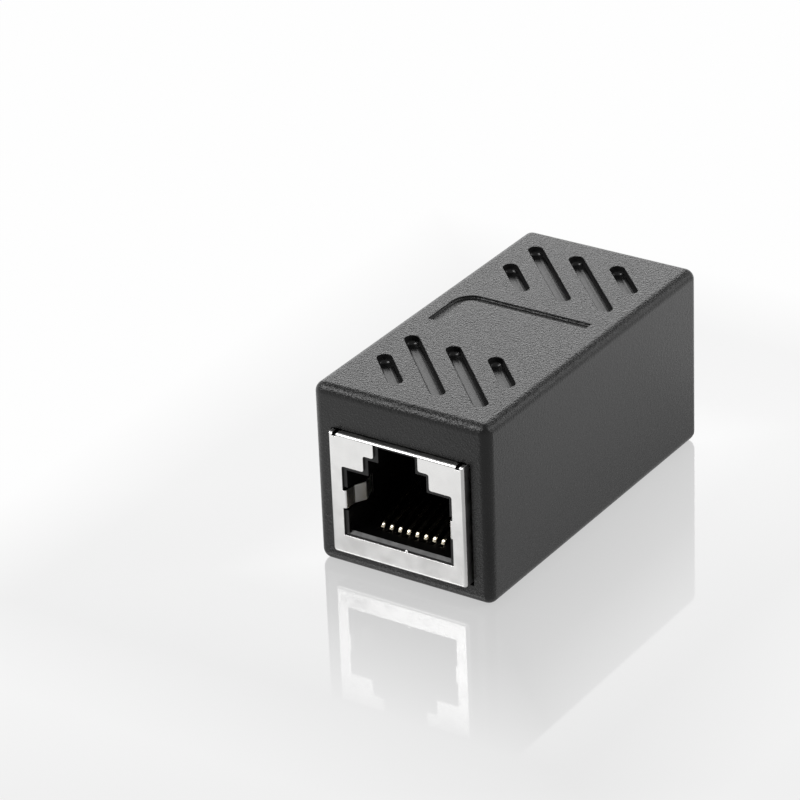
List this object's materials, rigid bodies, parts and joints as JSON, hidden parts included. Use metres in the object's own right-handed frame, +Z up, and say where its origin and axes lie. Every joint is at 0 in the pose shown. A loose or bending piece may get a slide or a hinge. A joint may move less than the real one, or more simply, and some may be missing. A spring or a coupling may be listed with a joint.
{
  "type": "inline network coupler",
  "caption": "Short black box with a shielded network socket in each end, which joins patch cords end to end.",
  "frame": {"origin": "middle of the underside", "axes": "+Z up, -Y out of the front socket, +Y out of the rear socket, +X to the right as seen from the front"},
  "size_m": [0.0206, 0.0428, 0.0199],
  "materials": {
    "shell": "fine spark-eroded black",
    "shield": "bright nickel plate",
    "insulator": "smooth black",
    "contact": "gold plate",
    "board": "green solder resist"
  },
  "bodies": {
    "root": {"housing": "shell", "rear_frame": "shell", "circuit_board": "board", "front_shield": "shield", "front_insulator": "insulator", "front_contact_carrier": "insulator", "front_contact_1": "contact", "front_contact_2": "contact", "front_contact_3": "contact", "front_contact_4": "contact", "front_contact_5": "contact", "front_contact_6": "contact", "front_contact_7": "contact", "front_contact_8": "contact", "rear_shield": "shield", "rear_insulator": "insulator", "rear_contact_carrier": "insulator", "rear_contact_1": "contact", "rear_contact_2": "contact", "rear_contact_3": "contact", "rear_contact_4": "contact", "rear_contact_5": "contact", "rear_contact_6": "contact", "rear_contact_7": "contact", "rear_contact_8": "contact"}
  },
  "joints": []
}
